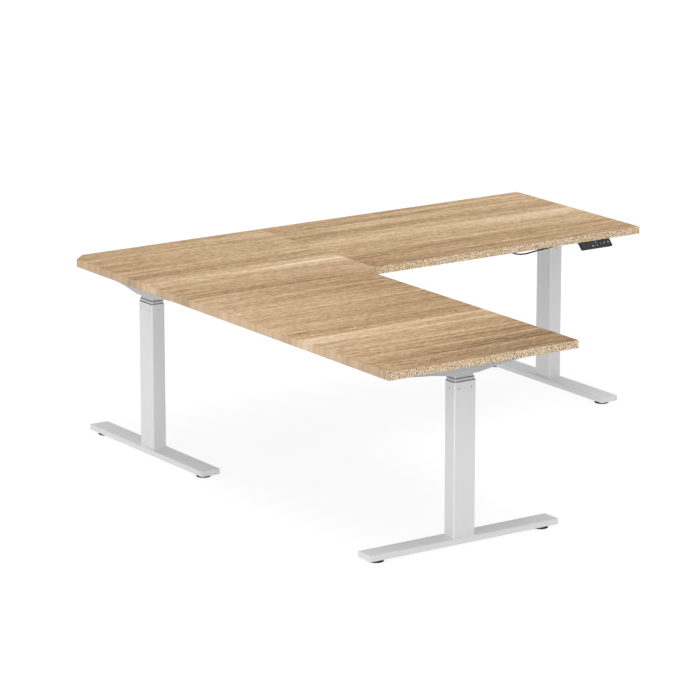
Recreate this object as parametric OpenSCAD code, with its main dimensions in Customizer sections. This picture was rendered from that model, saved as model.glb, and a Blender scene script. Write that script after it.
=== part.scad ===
// Corner sit-stand desk: an L-shaped top of three boards on three electric telescopic legs.
// Millimetres, +Z up. The origin is on the floor, under the middle of the square that the top fits.
// The back edge runs along +X, the right wing lies along it, and the front wing runs towards -Y.
// Every leg is drawn standing at the origin, its foot along X, and on_leg() stands it in its place.

/* [Desktop] */
// Width of the whole top, along the back edge
desk_w = 1850; // [1750:10:2000]
// Depth of the whole top, along the left edge
desk_d = 1850; // [1750:10:2000]
// Depth of each wing, from its wall side to its user side
wing = 700; // [680:5:720]
// Side of the square corner board
corner = 750; // [730:5:770]
// Thickness of the boards
board_t = 25; // [22:1:30]
// Height of the top's surface with the legs fully down
desk_h = 615; // [612:1:630]
// Leg of the triangle cut off the corner board's back corner
corner_cut = 50; // [20:5:80]
// Gap between two boards
seam = 0.6; // [0.2:0.1:1]

/* [Legs] */
// Distance of the corner leg from the left edge
corner_inset = 105; // [100:5:130]
// Distance of the right leg from the right end
right_inset = 120; // [100:5:150]
// Distance of the front leg from the front end
front_inset = 125; // [100:5:150]
// Long side of the outer tube
outer_w = 80; // [80:1:84]
// Short side of the outer tube
outer_d = 50; // [50:1:52]
// Height of the outer tube's rim above the floor
outer_rim = 516; // [505:1:520]
// How far each inner stage stands out of the one below it, fully down
stage_step = 10; // [8:1:14]
// Length of a foot
foot_l = 700; // [600:10:700]
// Width of a foot
foot_w = 70; // [60:1:80]
// Height of a foot
foot_h = 19; // [18:1:24]
// Height of the levelling glides under the feet
glide_h = 11; // [8:1:14]
// Radius of a glide's disc
glide_r = 24; // [18:1:26]
// Length of the support arm on top of each leg
arm_l = 560; // [480:10:600]
// Width of the support arm
arm_w = 60; // [60:1:66]

/* [Handset] */
// Width of the handset
handset_w = 129; // [120:1:140]
// Distance of the handset's middle from the right end
handset_inset = 196; // [150:1:400]
// Height of the sloping face, along its slope
face_h = 27.6; // [26:0.2:30]

/* [Hidden] */
$fn = 48;

// Each leg's name, place, turn, and the names of the glides at its -X and +X ends
LEGS = [
    ["corner", [corner_inset - desk_w / 2, desk_d / 2 - wing / 2], -90, ["glide_rear", "glide_front"]],
    ["right", [desk_w / 2 - right_inset, desk_d / 2 - wing / 2], 90, ["glide_front", "glide_rear"]],
    ["front", [wing / 2 - desk_w / 2, front_inset - desk_d / 2], 0, ["glide_left", "glide_right"]],
];
LEG_PARTS = [
    "foot", "outer_tube", "outer_guide", "lift_screw", "middle_tube", "middle_guide",
    "screw_tube", "drive_shaft", "inner_tube", "arm",
];
KEYS = ["up_key", "down_key", "set_key", "memory_key_1", "memory_key_2", "memory_key_3"];
TOP_PARTS = [
    "corner_panel", "right_panel", "front_panel", "joining_plates", "main_beam", "side_beam",
    "tee_bracket", "spindle_nuts", "gearboxes", "motors", "control_box", "control_board",
    "handset_housing", "handset_window", "handset_cable", "cable_clips", "wood_screws",
    "frame_bolts",
];

PAINTED_STEEL = "gainsboro";
BARE_STEEL = "silver";
DARK_PLASTIC = "dimgray";
BLACK_PLASTIC = [0.12, 0.12, 0.13];
OAK = "burlywood";

// Edges of the top, and where its layers lie
left_x = -desk_w / 2;
right_x = desk_w / 2;
back_y = desk_d / 2;
front_y = -desk_d / 2;
wing_front_y = back_y - wing;
wing_right_x = left_x + wing;
under_z = desk_h - board_t;

// Heights in a leg
foot_top = glide_h + foot_h;
middle_rim = outer_rim + stage_step;
middle_foot = foot_top + 8;
inner_foot = middle_foot + 12;
gearbox_z = under_z - 36;

// Tube sections: each stage is 5 mm smaller than the one around it
wall = 1.5;
middle_w = outer_w - 5;
middle_d = outer_d - 5;
inner_w = middle_w - 5;
inner_d = middle_d - 5;
outer_r = 4;
middle_r = 3.5;
inner_r = 3;
guide_gap = 0.2;
lip_h = 1.5;
skirt_h = 35;
peg_drop = 20;
peg_x = 24;
peg_r = 2;

// Screws and shafts on a leg's axis
screw_r = 6;
screw_top = outer_rim - 16;
tube_r = 12;
tube_bore = 8.8;
shaft_r = 8.5;
shaft_bore = 6.3;
run_fit = 0.06;
plate_h = 5;
nut_h = 24;

// Feet
foot_wall = 2.5;
foot_r = 3;
glide_x = foot_l / 2 - 42;
stud_r = 4;
stud_top = foot_top - 5;

// Arms, gearboxes and motors
arm_t = 2.5;
arm_mid = 51;
arm_knee = 39;
arm_end = 24;
arm_flat_x = 46;
arm_bend_x = 120;
arm_hole_x = [110, 190, 258];
box_w = 96;
box_d = arm_w - 2 * arm_t - 1;
motor_r = 22;
motor_l = 128;
motor_z = under_z - 25.5;

// Beams under the top: pairs of square tubes that slide into each other
rail_gap = 60;
rail_w = 20;
rail_h = 38;
rail_wall = 1.5;
rail_top = under_z - 1;
slim = 2 * rail_wall + 1;
flange_t = 3;
ear_w = 24;
bolt_out = 22;
bolt_r = 4;
bolt_z = rail_top - rail_h / 2;
corner_x = LEGS[0][1][0];
right_leg_x = LEGS[1][1][0];
beam_y = LEGS[0][1][1];
side_x = LEGS[2][1][0];
front_leg_y = LEGS[2][1][1];
tee_w = 220;
tee_y = beam_y - rail_gap - rail_w / 2 - flange_t;

// Joining plates across the two seams
plate_l = 120;
plate_w = 40;
plate_t = 2;
plate_steps = [100, 200, 520, 620];

// Control box
box_l = 260;
box_y = 110;
box_z = 38;
box_x0 = left_x + 900;
box_y0 = back_y - 560;
box_wall = 2.5;
port_y = box_y0 + 40;
port_z = under_z - 19;
inlet_l = 18;
inlet_w = 28;
inlet_h = 20;
sockets_x = [box_x0 + 70, box_x0 + 130, box_x0 + 190];
box_ears_x = [box_x0 + 40, box_x0 + box_l - 40];
box_ear_y = box_y / 2 + 7;

// Handset: its sloping face starts at the lower front edge of the right wing
handset_x = right_x - handset_inset;
handset_back = 50;
handset_t = 8;
ear_x = 42;
drop = face_h * cos(45);
window_w = handset_w - 7;
window_h = face_h - 5.6;
window_t = 0.8;
key_r = 3.6;
key_gap = 0.15;
key_lip = 0.7;
// Each key's place on the face: across from the left end, and down from the top edge
KEY_SPOTS = [
    [0.515, 0.25], [0.515, 0.74], [0.38, 0.72], [0.65, 0.56], [0.77, 0.5], [0.9, 0.46],
];

// Handset cable: from the handset's back wall, under the right wing, to the control box
cable_r = 2.5;
cable_sides = 8;
cable_steps = 3;
clip_l = 12;
clip_drop = 6;
clip_gap = 0.8;
CLIPS = [[400, 285], [300, 405]];
CABLE_ROUTE = [
    [675, 275, 583], [675, 284, 582.8], [668, 294, 581], [650, 298, 577], [623, 298, 572.5],
    [595, 297, 570], [565, 296, 567.8], [540, 295, 566], [515, 294, 564], [492, 292, 562.5],
    [467, 291, 563.5], [449, 290, 567], [434, 288, 572], [420, 286, 579.5], [408, 285, 584],
    [392, 285, 584], [372, 290, 581], [352, 312, 577], [341, 345, 575.5], [333, 375, 577.5],
    [321, 397, 581.5], [307, 405, 584], [293, 405, 584], [278, 405, 580.5], [262, 405, 574],
    [248, 405, 571], [235, 405, 571],
];

// ---- shared shapes ----

function bend(a, b, c, d, t) =
    0.5 * (2 * b + (c - a) * t + (2 * a - 5 * b + 4 * c - d) * t * t
        + (3 * b - a - 3 * c + d) * t * t * t);

function smooth_route(p, n) = let (last = len(p) - 1) concat(
    [for (i = [0 : last - 1]) for (k = [0 : n - 1])
        bend(p[max(i - 1, 0)], p[i], p[i + 1], p[min(i + 2, last)], k / n)],
    [p[last]]
);

function unit(v) = v / norm(v);

// One ring of points around each point of the path, square to the path's direction
function ring_points(path, r, n) = [
    for (i = [0 : len(path) - 1])
        let (
            ahead = unit(path[min(i + 1, len(path) - 1)] - path[max(i - 1, 0)]),
            side = unit(cross(ahead, [0, 0, 1])),
            up = cross(side, ahead)
        )
        for (k = [0 : n - 1]) path[i] + r * (cos(360 * k / n) * side + sin(360 * k / n) * up)
];

module sweep_tube(path, r, n) {
    last = len(path) - 1;
    sides = [
        for (i = [0 : last - 1]) for (k = [0 : n - 1])
            [i * n + k, (i + 1) * n + k, (i + 1) * n + (k + 1) % n, i * n + (k + 1) % n]
    ];
    ends = [[for (k = [0 : n - 1]) k], [for (k = [n - 1 : -1 : 0]) last * n + k]];
    polyhedron(ring_points(path, r, n), concat(sides, ends));
}

module round_rect(w, d, r) {
    square([w - 2 * r, d], center = true);
    square([w, d - 2 * r], center = true);
    for (x = [-1, 1]) for (y = [-1, 1])
        translate([x * (w / 2 - r), y * (d / 2 - r)]) circle(r);
}

module tube(w, d, r, t, z0, z1) {
    translate([0, 0, z0]) linear_extrude(z1 - z0) difference() {
        round_rect(w, d, r);
        round_rect(w - 2 * t, d - 2 * t, max(r - t, 0.5));
    }
}

module block(size, at) {
    translate([at[0] - size[0] / 2, at[1] - size[1] / 2, at[2]]) cube(size);
}

// A board lying in the XY plane, from its underside up
module board(points) {
    color(OAK) translate([0, 0, under_z]) linear_extrude(board_t) polygon(points);
}

module on_leg(leg) {
    translate([leg[1][0], leg[1][1], 0]) rotate([0, 0, leg[2]]) children();
}

// Pins that stand at the six peg places of a tube's rim: two on each long side, one on each short
module pegs(w, d, z, r, l) {
    for (s = [-1, 1]) {
        for (x = [-peg_x, peg_x])
            translate([x, s * (d / 2 - l / 2), z]) rotate([90, 0, 0]) cylinder(h = l, r = r, center = true);
        translate([s * (w / 2 - l / 2), 0, z]) rotate([0, 90, 0]) cylinder(h = l, r = r, center = true);
    }
}

// ---- leg, standing part ----

module foot() {
    color(PAINTED_STEEL) difference() {
        union() {
            difference() {
                foot_bar(foot_l, 0);
                foot_bar(foot_l - 2 * foot_wall, foot_wall);
            }
            for (x = [-glide_x, glide_x])
                translate([x, 0, glide_h + foot_wall / 2]) cylinder(h = 12 - foot_wall / 2, r = 8);
        }
        for (x = [-glide_x, glide_x])
            translate([x, 0, glide_h - 1]) cylinder(h = 14, r = stud_r + run_fit);
    }
}

// The foot's solid bar, shrunk by inset on its four long faces
module foot_bar(l, inset) {
    translate([-l / 2, 0, glide_h + foot_h / 2]) rotate([90, 0, 90]) linear_extrude(l)
        round_rect(foot_w - 2 * inset, foot_h - 2 * inset, max(foot_r - inset, 0.5));
}

module outer_tube() {
    color(PAINTED_STEEL) difference() {
        tube(outer_w, outer_d, outer_r, wall, foot_top, outer_rim);
        pegs(outer_w, outer_d, outer_rim - peg_drop, peg_r + 0.1, 4);
    }
}

// Plastic collar in a tube's mouth: a lip on the rim, a skirt inside, and pegs that lock it
module guide(w, d, r, rim) {
    inner = [w - 5 + 2 * guide_gap, d - 5 + 2 * guide_gap];
    color(DARK_PLASTIC) difference() {
        union() {
            translate([0, 0, rim]) linear_extrude(lip_h) round_rect(w - 1, d - 1, r - 0.5);
            translate([0, 0, rim - skirt_h]) linear_extrude(skirt_h)
                round_rect(w - 2 * wall - 0.1, d - 2 * wall - 0.1, r - wall);
            intersection() {
                pegs(w, d, rim - peg_drop, peg_r, 4);
                block([w - 0.6, d - 0.6, skirt_h], [0, 0, rim - skirt_h]);
            }
        }
        translate([0, 0, rim - skirt_h - 1]) linear_extrude(skirt_h + 10)
            round_rect(inner[0], inner[1], r - 0.5);
    }
}

// Fixed threaded rod that stands on the foot
module lift_screw() {
    color(BARE_STEEL) {
        translate([0, 0, foot_top]) cylinder(h = 4, r = 17);
        translate([0, 0, foot_top]) cylinder(h = screw_top - foot_top, r = screw_r);
    }
}

module glide(side) {
    color(BLACK_PLASTIC) translate([side * glide_x, 0, 0]) {
        rotate_extrude() polygon([
            [0, 0], [glide_r - 1, 0], [glide_r, 1], [glide_r, glide_h - 2],
            [glide_r - 2, glide_h - 0.1], [0, glide_h - 0.1],
        ]);
        cylinder(h = stud_top, r = stud_r);
    }
}

// ---- leg, middle stage ----

module middle_tube() {
    color(PAINTED_STEEL) difference() {
        union() {
            tube(middle_w, middle_d, middle_r, wall, middle_foot, middle_rim);
            translate([0, 0, middle_foot]) linear_extrude(plate_h)
                round_rect(middle_w - wall, middle_d - wall, middle_r);
        }
        translate([0, 0, middle_foot - 1]) cylinder(h = plate_h + 2, r = tube_r + run_fit);
        pegs(middle_w, middle_d, middle_rim - peg_drop, peg_r + 0.1, 4);
    }
}

// Hollow screw: held in the middle stage's end plate, threaded inside on the fixed rod and
// outside in the inner stage's nut
module screw_tube() {
    nut_top = middle_foot + 20;
    color(BARE_STEEL) difference() {
        union() {
            translate([0, 0, middle_foot]) cylinder(h = screw_top + 20 - middle_foot, r = tube_r);
            translate([0, 0, middle_foot + plate_h + 0.2]) cylinder(h = 3.5, r = 16);
        }
        translate([0, 0, middle_foot - 1]) cylinder(h = 600, r = screw_r + run_fit);
        translate([0, 0, nut_top]) cylinder(h = 600, r = tube_bore);
    }
}

// ---- leg, top stage ----

module inner_tube() {
    color(PAINTED_STEEL) tube(inner_w, inner_d, inner_r, wall, inner_foot, gearbox_z);
}

// Hollow shaft that the gearbox turns; it slides inside the hollow screw and turns it
module drive_shaft() {
    color(BARE_STEEL) translate([0, 0, inner_foot + 30]) difference() {
        cylinder(h = gearbox_z + 18 - inner_foot - 30, r = shaft_r);
        translate([0, 0, -1]) cylinder(h = gearbox_z, r = shaft_bore);
    }
}

// Nut in the inner tube's lower end
module spindle_nut() {
    color(DARK_PLASTIC) difference() {
        translate([0, 0, inner_foot]) linear_extrude(nut_h)
            round_rect(inner_w - 2 * wall - 0.2, inner_d - 2 * wall - 0.2, inner_r - wall);
        translate([0, 0, inner_foot - 1]) cylinder(h = nut_h + 2, r = tube_r + run_fit);
    }
}

module gearbox() {
    color(BLACK_PLASTIC) difference() {
        union() {
            translate([0, 0, gearbox_z]) linear_extrude(under_z - arm_t - 0.1 - gearbox_z)
                round_rect(box_w, box_d, 6);
            translate([-26, inner_d / 2 + 0.5, motor_z - motor_r])
                cube([52, box_d / 2 - inner_d / 2 - 0.5, 2 * motor_r]);
        }
        translate([0, 0, gearbox_z - 1]) cylinder(h = 21, r = shaft_r + run_fit);
    }
}

// Motor lying level beside the gearbox, along the beam
module motor() {
    color(BARE_STEEL) translate([0, box_d / 2, motor_z]) rotate([-90, 0, 0]) {
        cylinder(h = motor_l - 8, r = motor_r);
        cylinder(h = motor_l - 2, r = motor_r - 3);
        cylinder(h = motor_l, r = 6);
    }
}

// Pressed channel, open below, deep in the middle and shallow at its ends
module arm() {
    half = arm_l / 2;
    side = [
        [-half, under_z], [half, under_z], [half, under_z - arm_end],
        [arm_bend_x, under_z - arm_knee], [arm_flat_x, under_z - arm_mid],
        [-arm_flat_x, under_z - arm_mid], [-arm_bend_x, under_z - arm_knee],
        [-half, under_z - arm_end],
    ];
    color(PAINTED_STEEL) difference() {
        translate([0, arm_w / 2, 0]) rotate([90, 0, 0]) linear_extrude(arm_w) polygon(side);
        block([arm_l - 2 * arm_t, arm_w - 2 * arm_t, 100], [0, 0, under_z - arm_t - 100]);
        for (x = arm_hole_x) for (s = [-1, 1])
            translate([s * x, 0, under_z - 10]) cylinder(h = 20, r = 2.6);
        translate([0, arm_w / 2, motor_z]) rotate([90, 0, 0])
            cylinder(h = 4 * arm_t, r = motor_r + 0.8, center = true);
        for (s = [-1, 1]) translate([s * (rail_gap + bolt_out), arm_w / 2, bolt_z])
            rotate([90, 0, 0]) cylinder(h = 4 * arm_t, r = bolt_r + 0.1, center = true);
    }
}

module leg_part(part) {
    if (part == "foot") foot();
    if (part == "outer_tube") outer_tube();
    if (part == "outer_guide") guide(outer_w, outer_d, outer_r, outer_rim);
    if (part == "lift_screw") lift_screw();
    if (part == "middle_tube") middle_tube();
    if (part == "middle_guide") guide(middle_w, middle_d, middle_r, middle_rim);
    if (part == "screw_tube") screw_tube();
    if (part == "drive_shaft") drive_shaft();
    if (part == "inner_tube") inner_tube();
    if (part == "arm") arm();
}

module on_every_leg() {
    for (leg = LEGS) on_leg(leg) children();
}

// ---- top ----

module corner_panel() {
    x1 = left_x + corner;
    y1 = back_y - corner;
    board([
        [left_x + corner_cut, back_y], [x1, back_y], [x1, wing_front_y], [wing_right_x, y1],
        [left_x, y1], [left_x, back_y - corner_cut],
    ]);
}

module right_panel() {
    x0 = left_x + corner + seam;
    board([[x0, back_y], [right_x, back_y], [right_x, wing_front_y], [x0, wing_front_y]]);
}

module front_panel() {
    y0 = back_y - corner - seam;
    board([[left_x, y0], [wing_right_x, y0], [wing_right_x, front_y], [left_x, front_y]]);
}

// Calls its children at each joining plate, turned so that X crosses the seam
module at_plates() {
    for (step = plate_steps) {
        translate([left_x + corner + seam / 2, back_y - step, 0]) children();
        translate([left_x + step, back_y - corner - seam / 2, 0]) rotate([0, 0, 90]) children();
    }
}

module at_plate_screws() {
    at_plates() for (x = [-48, -22, 22, 48]) translate([x, 0, 0]) children();
}

module joining_plates() {
    color(BARE_STEEL) difference() {
        at_plates() block([plate_l, plate_w, plate_t], [0, 0, under_z - plate_t]);
        at_plate_screws() translate([0, 0, under_z - 10]) cylinder(h = 20, r = 2.2);
    }
}

// One rail of a beam along X from x0 to x1, with an end plate at plate_x whose ear with the bolt
// hole stands out to the side that out gives, 1 or -1
module rail(x0, x1, shrink, plate_x, out) {
    w = rail_w - shrink;
    h = rail_h - shrink;
    translate([x0, 0, rail_top - rail_h / 2]) rotate([90, 0, 90]) linear_extrude(x1 - x0)
        difference() {
            square([w, h], center = true);
            square([w - 2 * rail_wall, h - 2 * rail_wall], center = true);
        }
    difference() {
        block([flange_t, rail_w + ear_w, rail_h],
            [plate_x + flange_t / 2, out * ear_w / 2, rail_top - rail_h]);
        translate([plate_x - 1, out * bolt_out, bolt_z]) rotate([0, 90, 0])
            cylinder(h = flange_t + 2, r = bolt_r + 0.1);
    }
}

// Two pairs of rails: wide tubes from one end, slim tubes that slide into them from the other
module beam(l, wide_l, slim_l) {
    for (s = [-1, 1]) translate([0, s * rail_gap, 0]) {
        rail(flange_t, wide_l, 0, 0, s);
        rail(l - slim_l, l - flange_t, slim, l - flange_t, s);
    }
}

module main_beam() {
    l = right_leg_x - corner_x - arm_w;
    color(PAINTED_STEEL) translate([corner_x + arm_w / 2, beam_y, 0]) beam(l, l * 0.62, l * 0.55);
}

module side_beam() {
    l = tee_y - front_leg_y - arm_w / 2;
    color(PAINTED_STEEL) translate([side_x, front_leg_y + arm_w / 2, 0]) rotate([0, 0, 90])
        beam(l, l * 0.62, l * 0.55);
}

// Plate that joins the side beam to the main beam's front rail
module tee_bracket() {
    color(PAINTED_STEEL) difference() {
        block([tee_w, flange_t, rail_h], [side_x, tee_y + flange_t / 2, rail_top - rail_h]);
        for (s = [-1, 1])
            translate([side_x + s * (rail_gap + bolt_out), tee_y, bolt_z]) rotate([90, 0, 0])
                cylinder(h = 20, r = bolt_r + 0.1, center = true);
    }
}

// ---- control box ----

module control_box() {
    x1 = box_x0 + box_l;
    y1 = box_y0 + box_y;
    mid = [box_x0 + box_l / 2, box_y0 + box_y / 2, under_z - box_z];
    color(BLACK_PLASTIC) difference() {
        union() {
            translate(mid) linear_extrude(box_z) round_rect(box_l, box_y, 5);
            for (x = box_ears_x)
                block([16, box_y + 26, 3], [x, mid[1], under_z - 3]);
            // gland of the handset cable
            translate([x1 - 1, port_y, port_z]) rotate([0, 90, 0]) cylinder(h = 11, r = 4.5);
        }
        difference() {
            translate([mid[0], mid[1], mid[2] + box_wall]) linear_extrude(box_z - 2 * box_wall)
                round_rect(box_l - 2 * box_wall, box_y - 2 * box_wall, 2.5);
            block([inlet_l + 3, inlet_w + 6, inlet_h + 5],
                [box_x0 + inlet_l / 2, mid[1], port_z - inlet_h / 2 - 3]);
            for (x = sockets_x) block([24, 12, 15], [x, y1 - 4, port_z - 7.5]);
        }
        // mains inlet in the left end, and three motor sockets in the back
        block([inlet_l, inlet_w, inlet_h], [box_x0 + inlet_l / 2 - 0.1, mid[1], port_z - inlet_h / 2]);
        for (x = sockets_x) block([20, 7, 11], [x, y1, port_z - 5.5]);
        translate([x1 - 10, port_y, port_z]) rotate([0, 90, 0]) cylinder(h = 30, r = cable_r + 0.1);
        for (x = box_ears_x) for (s = [-1, 1])
            translate([x, mid[1] + s * box_ear_y, under_z - 10]) cylinder(h = 20, r = 2.2);
    }
}

module control_board() {
    z = under_z - box_z + box_wall + 3;
    color("darkgreen") {
        block([box_l - 50, box_y - 16, 1.6], [box_x0 + box_l / 2 + 12, box_y0 + box_y / 2, z]);
        block([52, 44, 22], [box_x0 + 90, box_y0 + 42, z]);
        for (i = [0 : 2])
            translate([box_x0 + 140 + 24 * i, box_y0 + 34, z]) cylinder(h = 22, r = 9);
    }
}

// ---- handset ----

// On the sloping face: X to the right, Y up the slope, Z out of the face
module on_face() {
    translate([handset_x, wing_front_y, under_z]) rotate([45, 0, 0]) children();
}

module at_key(i) {
    spot = KEY_SPOTS[i];
    on_face() translate([(spot[0] - 0.5) * handset_w, -spot[1] * face_h, 0]) children();
}

// Point of the handset's side view: s down its sloping face, and d behind the face
function face_point(s, d) = [(d - s) * cos(45), -(d + s) * cos(45)];

// Side view of the handset: the sloping plate, and the wedge under the board behind it
module handset_side() {
    polygon([
        [0, 0], [-drop, -drop], face_point(face_h, handset_t), face_point(-3.3, handset_t),
        [20, -5.5], [handset_back, -14], [handset_back, 0],
    ]);
}

// Side view of the hollow inside it
module handset_hollow() {
    polygon([
        [handset_back - 2, -2], [handset_back - 2, -12.3], [20, -3.9], [6.5, -2.6],
        face_point(1, 6.2), face_point(face_h - 2.4, 6.2), face_point(face_h - 2.4, 2),
        face_point(0.8, 2),
    ]);
}

// Draws a side view of the handset over the width w
module across_handset(w) {
    translate([handset_x - w / 2, wing_front_y, under_z]) rotate([90, 0, 90]) linear_extrude(w)
        children();
}

module at_handset_ears() {
    for (x = [-ear_x, ear_x]) translate([handset_x + x, wing_front_y + handset_back + 7, 0]) children();
}

// Along the cable where it leaves the handset's rear wall
module at_cable_exit() {
    translate(CABLE_ROUTE[0]) rotate([-90, 0, 0]) children();
}

module handset_housing() {
    color(BLACK_PLASTIC) difference() {
        union() {
            across_handset(handset_w) handset_side();
            at_handset_ears() block([16, 14, 2.5], [0, 0, under_z - 2.5]);
            at_cable_exit() cylinder(h = 7, r = cable_r + 1.5);
        }
        across_handset(handset_w - 4) handset_hollow();
        on_face() block([window_w + 0.2, window_h + 0.2, 5], [0, -face_h / 2, -window_t]);
        for (i = [0 : len(KEYS) - 1])
            at_key(i) translate([0, 0, -6]) cylinder(h = 10, r = key_r + key_gap);
        at_cable_exit() cylinder(h = 20, r = cable_r + 0.1);
        at_handset_ears() translate([0, 0, under_z - 9]) cylinder(h = 20, r = 2.2);
    }
}

module handset_window() {
    color([0.2, 0.2, 0.21]) difference() {
        on_face() block([window_w, window_h, window_t], [0, -face_h / 2, -window_t]);
        for (i = [0 : len(KEYS) - 1])
            at_key(i) translate([0, 0, -6]) cylinder(h = 10, r = key_r + key_gap);
    }
}

module key(i) {
    color("gray") at_key(i) {
        translate([0, 0, -4]) cylinder(h = 4.5, r = key_r);
        translate([0, 0, -4]) cylinder(h = 1, r = key_r + key_lip);
    }
}

module handset_cable() {
    color([0.1, 0.1, 0.1]) sweep_tube(smooth_route(CABLE_ROUTE, cable_steps), cable_r, cable_sides);
}

module cable_clips() {
    side = 2 * (cable_r + clip_gap + 1.5);
    color(BLACK_PLASTIC) for (spot = CLIPS) difference() {
        block([clip_l, side, clip_drop + side / 2], [spot[0], spot[1], under_z - clip_drop - side / 2]);
        translate([spot[0], spot[1], under_z - clip_drop]) rotate([0, 90, 0])
            cylinder(h = clip_l + 2, r = cable_r + clip_gap, center = true);
    }
}

// ---- fasteners ----

// Screw driven up into the top, its head under a sheet of thickness t
module wood_screw(t) {
    translate([0, 0, under_z - t - 2.2]) cylinder(h = 2.2, r = 4);
    translate([0, 0, under_z - t - 2.2]) cylinder(h = t + 2.2 + 16, r = 2);
}

module wood_screws() {
    color(BARE_STEEL) {
        at_plate_screws() wood_screw(plate_t);
        on_every_leg() for (x = arm_hole_x) for (s = [-1, 1]) translate([s * x, 0, 0]) wood_screw(arm_t);
        for (x = box_ears_x) for (s = [-1, 1])
            translate([x, box_y0 + box_y / 2 + s * box_ear_y, 0]) wood_screw(3);
        at_handset_ears() wood_screw(2.5);
    }
}

// Hexagon bolt along Y, its head on the -Y side, through sheets that meet around Y = 0
module bolt(grip, tail) {
    rotate([-90, 0, 0]) {
        translate([0, 0, -grip / 2 - 5]) cylinder(h = 5, r = 7, $fn = 6);
        translate([0, 0, -grip / 2 - 5]) cylinder(h = grip + 5 + tail, r = bolt_r);
    }
}

module nut() {
    rotate([-90, 0, 0]) cylinder(h = 6, r = 7, $fn = 6);
}

module frame_bolts() {
    grip = flange_t + arm_t;
    color(BARE_STEEL) {
        on_every_leg() for (s = [-1, 1])
            translate([s * (rail_gap + bolt_out), arm_w / 2 + (flange_t - arm_t) / 2, bolt_z])
                mirror([0, 1, 0]) {
                    bolt(grip, 9);
                    translate([0, grip / 2, 0]) nut();
                }
        for (s = [-1, 1])
            translate([side_x + s * (rail_gap + bolt_out), tee_y, bolt_z])
                bolt(2 * flange_t, rail_wall);
    }
}

for (leg = LEGS) {
    for (part = LEG_PARTS)
        on_leg(leg) leg_part(part);
    for (i = [0, 1])
        on_leg(leg) glide(2 * i - 1);
}
for (i = [0 : len(KEYS) - 1])
    key(i);
corner_panel();
right_panel();
front_panel();
joining_plates();
main_beam();
side_beam();
tee_bracket();
on_every_leg() spindle_nut();  // spindle_nuts
on_every_leg() gearbox();  // gearboxes
on_every_leg() motor();  // motors
control_box();
control_board();
handset_housing();
handset_window();
handset_cable();
cable_clips();
wood_screws();
frame_bolts();
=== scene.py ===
"""Looks of the corner sit-stand desk: finishes, edges, handset marks and cable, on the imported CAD."""

import math

import bpy
from mathutils import Matrix, Vector


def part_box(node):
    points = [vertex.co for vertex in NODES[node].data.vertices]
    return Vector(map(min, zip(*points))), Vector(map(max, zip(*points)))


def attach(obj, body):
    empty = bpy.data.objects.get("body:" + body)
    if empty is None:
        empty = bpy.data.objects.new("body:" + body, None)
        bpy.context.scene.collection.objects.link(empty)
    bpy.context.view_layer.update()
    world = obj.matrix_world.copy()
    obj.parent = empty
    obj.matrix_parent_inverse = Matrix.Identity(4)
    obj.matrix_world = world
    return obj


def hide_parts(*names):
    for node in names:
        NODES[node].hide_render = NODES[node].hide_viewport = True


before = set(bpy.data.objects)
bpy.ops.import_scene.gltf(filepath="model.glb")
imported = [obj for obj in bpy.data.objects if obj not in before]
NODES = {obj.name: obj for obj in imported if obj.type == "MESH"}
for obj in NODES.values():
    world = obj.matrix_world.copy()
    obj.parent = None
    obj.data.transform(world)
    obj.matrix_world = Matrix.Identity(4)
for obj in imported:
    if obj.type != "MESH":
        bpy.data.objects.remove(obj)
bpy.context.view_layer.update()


# ---- camera ----

VIEW_AZIMUTH = math.radians(-34.35)
VIEW_ELEVATION = math.radians(14.24)
VIEW_DISTANCE = 12.86
VIEW_CENTRE = Vector((-0.134, 0.434, 0.286))
LENS_MM = 198.0


def add_camera():
    """A long lens, a little above the desk, to the left of its front."""
    away = Vector((
        math.sin(VIEW_AZIMUTH) * math.cos(VIEW_ELEVATION),
        -math.cos(VIEW_AZIMUTH) * math.cos(VIEW_ELEVATION),
        math.sin(VIEW_ELEVATION),
    ))
    data = bpy.data.cameras.new("camera")
    data.lens = LENS_MM
    data.sensor_width = 36.0
    data.clip_end = 100.0
    camera = bpy.data.objects.new("camera", data)
    camera.location = VIEW_CENTRE + VIEW_DISTANCE * away
    camera.rotation_euler = (-away).to_track_quat("-Z", "Y").to_euler()
    bpy.context.scene.collection.objects.link(camera)
    bpy.context.scene.camera = camera


add_camera()


# ---- shared helpers ----

def link(obj):
    bpy.context.scene.collection.objects.link(obj)
    return obj


def linear(value):
    """One 0 to 255 display value as a linear one."""
    v = value / 255
    return v / 12.92 if v <= 0.04045 else ((v + 0.055) / 1.055) ** 2.4


def tint(red, green, blue):
    return (linear(red), linear(green), linear(blue), 1.0)


def grey(value):
    return tint(value, value, value)


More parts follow.
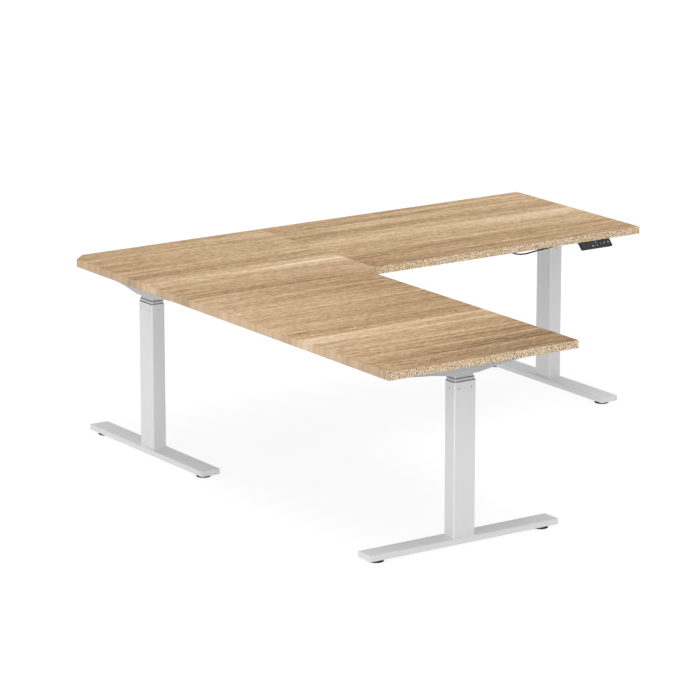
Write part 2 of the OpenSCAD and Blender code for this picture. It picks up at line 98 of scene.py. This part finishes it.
class Shader:
    """A node material in the making: each method adds a node and gives its output socket."""

    def __init__(self, name):
        self.material = bpy.data.materials.new(name)
        self.material.use_nodes = True
        self.tree = self.material.node_tree
        self.tree.nodes.clear()

    def node(self, kind, inputs, **settings):
        made = self.tree.nodes.new(kind)
        for key, value in settings.items():
            setattr(made, key, value)
        for key, value in inputs.items():
            if isinstance(value, bpy.types.NodeSocket):
                self.tree.links.new(value, made.inputs[key])
            else:
                made.inputs[key].default_value = value
        return made

    def place(self):
        """Where the point is in the object's own coordinates, in metres."""
        return self.node("ShaderNodeTexCoord", {}).outputs["Object"]

    def axes(self, vector):
        split = self.node("ShaderNodeSeparateXYZ", {0: vector})
        return split.outputs[0], split.outputs[1], split.outputs[2]

    def stretch(self, vector, scale, shift=(0, 0, 0)):
        settings = {"Vector": vector, "Scale": scale, "Location": shift}
        return self.node("ShaderNodeMapping", settings).outputs[0]

    def noise(self, vector, scale=1.0, detail=2.0, roughness=0.5, distortion=0.0):
        settings = {
            "Vector": vector, "Scale": scale, "Detail": detail,
            "Roughness": roughness, "Distortion": distortion,
        }
        return self.node("ShaderNodeTexNoise", settings).outputs["Fac"]

    def math(self, operation, a, b=0.0):
        return self.node("ShaderNodeMath", {0: a, 1: b}, operation=operation).outputs[0]

    def sum(self, *terms):
        total = terms[0]
        for term in terms[1:]:
            total = self.math("ADD", total, term)
        return total

    def swing(self, fac, size):
        """A 0 to 1 value as one that swings by size to either side of nothing."""
        return self.math("MULTIPLY", self.math("SUBTRACT", fac, 0.5), 2 * size)

    def remap(self, value, low, high, new_low=0.0, new_high=1.0):
        settings = {0: value, 1: low, 2: high, 3: new_low, 4: new_high}
        return self.node("ShaderNodeMapRange", settings).outputs[0]

    def ramp(self, fac, stops, interpolation="LINEAR"):
        made = self.node("ShaderNodeValToRGB", {0: fac})
        made.color_ramp.interpolation = interpolation
        elements = made.color_ramp.elements
        while len(elements) < len(stops):
            elements.new(1.0)
        for element, (position, colour) in zip(elements, sorted(stops)):
            element.position = position
        for element, (position, colour) in zip(elements, sorted(stops)):
            element.color = colour if isinstance(colour, tuple) else (colour, colour, colour, 1.0)
        return made.outputs[0]

    def mix(self, fac, a, b):
        made = self.node("ShaderNodeMix", {0: fac, 6: a, 7: b}, data_type="RGBA")
        return made.outputs[2]

    def bump(self, height, strength, distance):
        settings = {"Height": height, "Strength": strength, "Distance": distance}
        return self.node("ShaderNodeBump", settings).outputs[0]

    def finish(self, **inputs):
        """Ends in a Principled shader with these inputs, where an underscore stands for a space."""
        named = {key.replace("_", " "): value for key, value in inputs.items()}
        surface = self.node("ShaderNodeBsdfPrincipled", named).outputs[0]
        self.node("ShaderNodeOutputMaterial", {"Surface": surface})
        return self.material


# ---- cord ----

CABLE_R = 0.0025
CABLE_STEPS = 6
# The route of the handset's cable in part.scad, in metres
CABLE_ROUTE = [
    (0.675, 0.275, 0.583), (0.675, 0.284, 0.5828), (0.668, 0.294, 0.581), (0.650, 0.298, 0.577),
    (0.623, 0.298, 0.5725), (0.595, 0.297, 0.570), (0.565, 0.296, 0.5678), (0.540, 0.295, 0.566),
    (0.515, 0.294, 0.564), (0.492, 0.292, 0.5625), (0.467, 0.291, 0.5635), (0.449, 0.290, 0.567),
    (0.434, 0.288, 0.572), (0.420, 0.286, 0.5795), (0.408, 0.285, 0.584), (0.392, 0.285, 0.584),
    (0.372, 0.290, 0.581), (0.352, 0.312, 0.577), (0.341, 0.345, 0.5755), (0.333, 0.375, 0.5775),
    (0.321, 0.397, 0.5815), (0.307, 0.405, 0.584), (0.293, 0.405, 0.584), (0.278, 0.405, 0.5805),
    (0.262, 0.405, 0.574), (0.248, 0.405, 0.571), (0.235, 0.405, 0.571),
]


def smooth_route(points, steps):
    """A Catmull-Rom curve through the points, with this many steps from each to the next."""
    p = [Vector(points[0])] + [Vector(q) for q in points] + [Vector(points[-1])]
    smooth = []
    for a, b, c, d in zip(p, p[1:], p[2:], p[3:]):
        for k in range(steps):
            t = k / steps
            smooth.append(0.5 * (
                2 * b + (c - a) * t + (2 * a - 5 * b + 4 * c - d) * t ** 2
                + (3 * b - a - 3 * c + d) * t ** 3
            ))
    return smooth + [p[-1]]


def wire(name, lines, radius, sides=3):
    """A curve object of round wire along each of the lines."""
    data = bpy.data.curves.new(name, "CURVE")
    data.dimensions = "3D"
    data.bevel_depth = radius
    data.bevel_resolution = sides
    data.use_fill_caps = True
    for line in lines:
        spline = data.splines.new("POLY")
        spline.points.add(len(line) - 1)
        for point, at in zip(spline.points, line):
            point.co = (*at, 1.0)
        spline.use_smooth = True
    return link(bpy.data.objects.new(name, data))


def rubber():
    """Matt black sheath of the cable."""
    s = Shader("cable_jacket")
    place = s.place()
    fine = s.noise(place, 900.0)
    return s.finish(
        Base_Color=s.mix(fine, grey(6), grey(16)),
        Roughness=s.remap(fine, 0.3, 0.7, 0.55, 0.7),
        Specular_IOR_Level=0.1,
        Normal=s.bump(fine, 0.15, 0.0004),
    )


def add_cable():
    line = smooth_route(CABLE_ROUTE, CABLE_STEPS)
    cable = wire("cable", [line], CABLE_R, sides=4)
    cable.data.materials.append(rubber())
    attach(cable, "top")
    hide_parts("handset_cable")


add_cable()


# ---- finishes ----

# Tone of the oak's broad bands, by the distance in metres behind the board's pale streak
BANDS = [
    (-0.45, 0.08), (-0.33, 0.08), (-0.26, 0.35), (-0.22, 0.18), (-0.14, 0.50), (-0.08, 0.50),
    (-0.03, 0.85), (0.01, 1.00), (0.05, 0.55), (0.10, 0.20), (0.18, 0.60), (0.24, 0.38),
    (0.33, 0.50), (0.42, 0.60), (0.52, 0.35), (0.65, 0.42),
]


def oak(name, streak_y, middle_x, lean):
    """Light oak, its grain along X. streak_y is where its pale streak lies, and lean is how much paler
    it gets for each metre from middle_x."""
    s = Shader(name)
    place = s.place()
    x, y, z = s.axes(place)
    facing = s.axes(s.node("ShaderNodeNewGeometry", {}).outputs["Normal"])
    end_grain = s.math("GREATER_THAN", s.math("ABSOLUTE", facing[0]), 0.6)
    long_edge = s.math("GREATER_THAN", s.math("ABSOLUTE", facing[1]), 0.75)
    # On an end, the grain's lines run straight down
    depth = s.math("MULTIPLY", z, s.math("SUBTRACT", 1.0, s.math("MULTIPLY", end_grain, 0.97)))
    grain = s.node("ShaderNodeCombineXYZ", {0: x, 1: y, 2: depth}).outputs[0]

    low, high = BANDS[0][0], BANDS[-1][0]
    wander = s.swing(s.noise(s.stretch(grain, (1.6, 4.0, 1.0)), detail=1.0), 0.035)
    across = s.sum(y, -streak_y, wander)
    band = s.ramp(
        s.remap(across, low, high),
        [((d - low) / (high - low), tone) for d, tone in BANDS], "EASE",
    )
    streaks = s.noise(s.stretch(grain, (1.4, 55.0, 55.0)), detail=3.0, distortion=0.3)
    fibres = s.noise(s.stretch(grain, (10.0, 330.0, 330.0)), detail=2.0, roughness=0.6)
    ripple = s.noise(s.stretch(grain, (75.0, 120.0, 120.0)), detail=1.0)
    tilt = s.math("MULTIPLY", s.math("SUBTRACT", x, middle_x), lean)
    flakes = s.noise(s.stretch(grain, (48.0, 170.0, 170.0)), detail=3.0, roughness=0.7)
    spread = s.math("SUBTRACT", 1.0, s.math("MULTIPLY", end_grain, 0.45))
    detail = s.sum(
        s.swing(streaks, 1.0), s.swing(fibres, 1.1), s.swing(ripple, 0.4), s.swing(flakes, 1.3),
    )
    tone = s.sum(band, tilt, s.math("MULTIPLY", detail, spread))
    wood = s.ramp(s.remap(tone, -0.6, 1.6), [
        (0.00, tint(122, 90, 58)), (0.28, tint(170, 136, 98)), (0.50, tint(196, 162, 121)),
        (0.72, tint(218, 187, 148)), (1.00, tint(240, 218, 186)),
    ])
    pores = s.noise(s.stretch(grain, (38.0, 620.0, 620.0), (4.1, 2.3, 0.0)), detail=2.0)
    pore = s.remap(pores, 0.62, 0.74)
    wood = s.mix(s.math("MULTIPLY", pore, 0.5), wood, tint(112, 82, 56))
    wood = s.mix(s.math("MULTIPLY", end_grain, 0.2), wood, tint(236, 222, 204))

    # The long edges carry a paler strip with short flecks
    flecks = s.noise(s.stretch(place, (290.0, 290.0, 390.0)), detail=1.0, roughness=0.6)
    strip = s.ramp(flecks, [
        (0.34, tint(64, 44, 28)), (0.43, tint(210, 177, 138)), (0.57, tint(230, 201, 163)),
        (0.67, tint(255, 250, 236)),
    ])
    colour = s.mix(long_edge, wood, strip)
    backing = s.math("LESS_THAN", facing[2], -0.5)
    colour = s.mix(backing, colour, s.mix(flakes, tint(92, 90, 87), tint(104, 102, 98)))
    relief = s.sum(s.math("MULTIPLY", fibres, 0.6), s.math("MULTIPLY", pore, -0.8), ripple)
    return s.finish(
        Base_Color=colour,
        Roughness=s.remap(fibres, 0.3, 0.7, 0.52, 0.68),
        Specular_IOR_Level=0.18,
        Normal=s.bump(relief, 0.25, 0.0004),
    )


def powder_coat(name, dark, light):
    """Semi-gloss paint with a faint orange peel."""
    s = Shader(name)
    place = s.place()
    peel = s.noise(place, 520.0, detail=2.0)
    cloud = s.noise(place, 9.0, detail=3.0)
    return s.finish(
        Base_Color=s.mix(cloud, grey(dark), grey(light)),
        Roughness=s.remap(peel, 0.3, 0.7, 0.32, 0.42),
        Specular_IOR_Level=0.4,
        Normal=s.bump(peel, 0.1, 0.0004),
    )


def moulded(name, dark, light, roughness, shine=0.5, relief=0.2):
    """Plastic or rubber with a fine moulded grain."""
    s = Shader(name)
    place = s.place()
    fine = s.noise(place, 1400.0, detail=3.0, roughness=0.6)
    cloud = s.noise(place, 30.0)
    return s.finish(
        Base_Color=s.mix(cloud, grey(dark), grey(light)),
        Roughness=s.remap(fine, 0.3, 0.7, roughness - 0.08, roughness + 0.08),
        Specular_IOR_Level=shine,
        Normal=s.bump(fine, relief, 0.0003),
    )


def metal(name, dark, light, roughness, lines=(1.0, 1.0, 60.0)):
    """Bare or plated steel with fine drawn lines, square to the axis with the largest of the lines'
    three scales."""
    s = Shader(name)
    place = s.place()
    drawn = s.noise(s.stretch(place, lines), 40.0, detail=3.0)
    cloud = s.noise(place, 25.0, detail=3.0)
    return s.finish(
        Base_Color=s.mix(cloud, grey(dark), grey(light)),
        Metallic=1.0,
        Roughness=s.remap(drawn, 0.25, 0.75, roughness - 0.08, roughness + 0.1),
        Normal=s.bump(drawn, 0.1, 0.0004),
    )


THREAD_PITCH = 0.004


def threaded_steel():
    """Ground steel with a screw thread's bands along Z, in relief, with painted shade darkening the
    grooves.
    """
    s = Shader("screw_steel")
    place = s.place()
    x, y, z = s.axes(place)
    groove_relief_and_shade = s.math("PINGPONG", s.math("DIVIDE", z, THREAD_PITCH), 0.5)
    haze = s.noise(place, 60.0, detail=3.0)
    return s.finish(
        # Painted shade: the colour is darker where the thread's relief is lower, in the grooves
        Base_Color=s.mix(groove_relief_and_shade, grey(120), grey(176)),
        Metallic=1.0,
        Roughness=s.remap(haze, 0.3, 0.7, 0.24, 0.4),
        Normal=s.bump(groove_relief_and_shade, 0.5, 0.002),
    )


def circuit():
    """Green board with tinned pads."""
    s = Shader("circuit_board")
    place = s.place()
    cells = s.node("ShaderNodeTexVoronoi", {"Vector": place, "Scale": 260.0}).outputs["Distance"]
    pads = s.math("LESS_THAN", cells, 0.16)
    return s.finish(
        Base_Color=s.mix(pads, tint(20, 74, 44), tint(196, 190, 176)),
        Roughness=0.4,
        Normal=s.bump(cells, 0.2, 0.0005),
    )


OAKS = {
    "corner_panel": oak("oak_corner", 0.42, -0.55, 0.35),
    "right_panel": oak("oak_right", 0.60, 0.15, 0.28),
    "front_panel": oak("oak_front", -0.48, -0.60, -0.60),
}
# The stages, arms and beams take a darker copy of the frame paint, painted shade for the shadow under
# the desk top; the feet and outer tubes keep the lighter coat
SHADE_DARKENED_PAINT = powder_coat("shade_darkened_paint", 200, 206)
FINISHES = {
    "frame_paint": powder_coat("frame_paint", 226, 232),
    "guide_plastic": moulded("guide_plastic", 62, 74, 0.5),
    "screw_steel": threaded_steel(),
    "glide_rubber": moulded("glide_rubber", 10, 18, 0.65, shine=0.15),
    "key_plastic": moulded("key_plastic", 48, 56, 0.5, shine=0.3),
    "zinc_steel": metal("zinc_steel", 168, 200, 0.36),
    "nut_polymer": moulded("nut_polymer", 196, 212, 0.5),
    "case_plastic": moulded("case_plastic", 22, 30, 0.55, shine=0.3, relief=0.35),
    "motor_shell": metal("motor_shell", 120, 150, 0.42, lines=(60.0, 1.0, 60.0)),
    "circuit_board": circuit(),
    "window_gloss": moulded("window_gloss", 44, 50, 0.35, shine=0.35, relief=0.06),
    "cable_jacket": bpy.data.materials["cable_jacket"],
}


def apply_finishes():
    for name, node in NODES.items():
        for holder in node.material_slots:
            slot = holder.material.name.split(".")[0]
            holder.material = OAKS.get(name) or FINISHES[slot]
            # Painted shade: every frame-painted part but the feet and outer tubes takes the darker copy
            # of the paint
            if slot == "frame_paint" and not name.endswith(("_foot", "_outer_tube")):
                holder.material = SHADE_DARKENED_PAINT


# ---- edges ----

BEVELS = {
    "oak_board": (0.0009, 2), "frame_paint": (0.0009, 2), "case_plastic": (0.0007, 2),
    "key_plastic": (0.0003, 2), "zinc_steel": (0.0003, 1), "glide_rubber": (0.0008, 2),
}
FOOT_BEVEL = (0.0015, 3)


def soften(node, width, segments):
    """Rounds the sharp edges of a CAD node with modifiers, its own mesh as it was."""
    weld = node.modifiers.new("weld", "WELD")
    weld.merge_threshold = 1e-5
    bevel = node.modifiers.new("bevel", "BEVEL")
    bevel.width = width
    bevel.segments = segments
    bevel.limit_method = "ANGLE"
    bevel.angle_limit = math.radians(40)
    bevel.harden_normals = True
    bevel.use_clamp_overlap = True


def soften_edges():
    for name, node in NODES.items():
        slot = node.material_slots[0].material.name.split(".")[0]
        if name.endswith("_foot"):
            soften(node, *FOOT_BEVEL)
        elif slot in BEVELS and not name.endswith("_tube"):
            soften(node, *BEVELS[slot])


soften_edges()
apply_finishes()


# ---- handset marks ----

MARK_SIZE = 0.0021
MARK_R = 0.0006
FACE = Matrix.Rotation(math.radians(45), 3, "X")


def arc(centre, radius, start, end, steps=8):
    """Points round a centre from one angle to another, in degrees."""
    angles = [math.radians(start + (end - start) * k / steps) for k in range(steps + 1)]
    return [(centre[0] + radius * math.cos(a), centre[1] + radius * math.sin(a)) for a in angles]


# Each key's mark, as lines in units of MARK_SIZE
MARKS = {
    "up_key": [[(-0.8, -0.5), (0, 0.7), (0.8, -0.5), (-0.8, -0.5)]],
    "down_key": [[(-0.8, 0.5), (0, -0.7), (0.8, 0.5), (-0.8, 0.5)]],
    "set_key": [arc((0, 0), 0.8, 0, 360, 16), [(0, -0.3), (0, 0.3)]],
    "memory_key_1": [[(-0.45, 0.55), (0, 0.95), (0, -0.95)]],
    "memory_key_2": [arc((0, 0.4), 0.55, 165, -35) + [(-0.55, -0.95), (0.6, -0.95)]],
    "memory_key_3": [arc((0, 0.45), 0.5, 150, -90) + arc((0, -0.45), 0.55, 90, -150)],
}


def print_ink():
    """Pale printing ink."""
    s = Shader("mark_ink")
    haze = s.noise(s.place(), 2000.0)
    return s.finish(
        Base_Color=s.mix(haze, grey(238), grey(250)), Roughness=0.5,
        Normal=s.bump(haze, 0.1, 0.0001),
    )


def add_marks():
    ink = print_ink()
    out = FACE @ Vector((0, 0, 1))
    for key, shape in MARKS.items():
        low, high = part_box(key)
        middle = (low + high) / 2
        # The key's outer end, from the middle of its box
        reach = max(v.co.dot(out) for v in NODES[key].data.vertices) - middle.dot(out)
        centre = middle + out * reach
        lines = [
            [centre + FACE @ Vector((x * MARK_SIZE, y * MARK_SIZE, 0)) for x, y in line]
            for line in shape
        ]
        mark = wire(key + "_mark", lines, MARK_R, sides=1)
        mark.data.materials.append(ink)
        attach(mark, key)


add_marks()


# ---- room and light ----

SKY_LEVEL = 0.77
BOUNCE_GLOW = 0.34


def add_sheet(name, colour, glow):
    """A wide level sheet on the ground, with an even glow of its own."""
    half = 60.0
    mesh = bpy.data.meshes.new(name)
    corners = [(-half, -half, 0), (half, -half, 0), (half, half, 0), (-half, half, 0)]
    mesh.from_pydata(corners, [], [(0, 1, 2, 3)])
    sheet = link(bpy.data.objects.new(name, mesh))
    s = Shader(name)
    pale = s.noise(s.place(), 3.0)
    sheet.data.materials.append(s.finish(
        Base_Color=s.mix(pale, (*[colour] * 3, 1), (*[colour + 0.02] * 3, 1)),
        Roughness=0.9, Specular_IOR_Level=0.0,
        Emission_Color=(1, 1, 1, 1), Emission_Strength=glow,
    ))
    return sheet


def add_floor():
    """A pale floor whose shadows stay faint, and a bounce sheet on it that lights the desk as a
    plain white floor does."""
    floor = add_sheet("floor", 0.26, 0.82)
    floor.visible_diffuse = False
    floor.visible_glossy = False
    bounce = add_sheet("bounce", 0.76, BOUNCE_GLOW)
    bounce.location.z = -0.001
    bounce.visible_camera = False


def add_sky():
    """Even white light from all round."""
    world = bpy.data.worlds.new("sky")
    world.use_nodes = True
    background = world.node_tree.nodes["Background"]
    background.inputs["Color"].default_value = (1, 1, 1, 1)
    background.inputs["Strength"].default_value = SKY_LEVEL
    bpy.context.scene.world = world


def add_softbox(name, place, target, size, watts):
    """A round lamp of this diameter, turned towards the target."""
    data = bpy.data.lights.new(name, "AREA")
    data.shape = "DISK"
    data.size = size
    data.energy = watts
    lamp = link(bpy.data.objects.new(name, data))
    lamp.location = place
    lamp.rotation_euler = (Vector(target) - Vector(place)).to_track_quat("-Z", "Y").to_euler()
    return lamp


def add_gleam():
    """A lamp that is seen only in reflections, as a gleam along the columns' rounded edges."""
    gleam = add_softbox("gleam_softbox", (-3.6, -5.3, 0.8), (0, 0, 0.3), 1.5, 1500.0)
    gleam.visible_diffuse = False
    gleam.visible_camera = False


add_floor()
add_sky()
add_softbox("left_softbox", (-6.0, -1.0, 2.2), (0, 0, 0.4), 3.0, 35.0)
add_softbox("top_softbox", (-1.0, -1.0, 6.0), (0, 0, 0.4), 4.0, 80.0)
add_gleam()
bpy.context.scene.view_settings.view_transform = "Standard"
